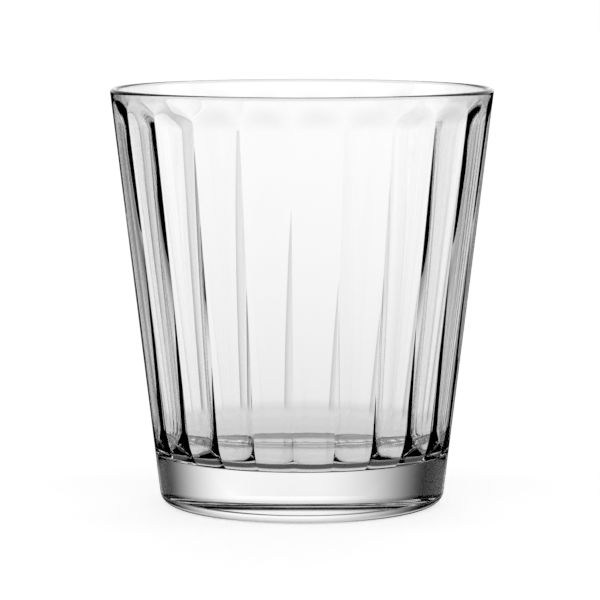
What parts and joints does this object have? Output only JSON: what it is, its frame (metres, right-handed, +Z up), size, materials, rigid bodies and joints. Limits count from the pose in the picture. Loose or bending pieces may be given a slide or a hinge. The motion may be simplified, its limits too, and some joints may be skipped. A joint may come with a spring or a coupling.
{
  "type": "juice glass",
  "caption": "Conical juice glass of clear pressed glass with a smooth outside, a thick base, a rounded lip and ribs with grooves between them down the inside of the wall.",
  "frame": {"origin": "middle of the base, in the plane of the table the glass stands on", "axes": "+Z up along the axis of the glass, out of its mouth; the picture looks along +Y"},
  "size_m": [0.0788, 0.0788, 0.086],
  "materials": {
    "clear_glass": "clear colourless soda-lime glass, fire-polished"
  },
  "bodies": {
    "root": {"tumbler": "clear_glass"}
  },
  "joints": []
}
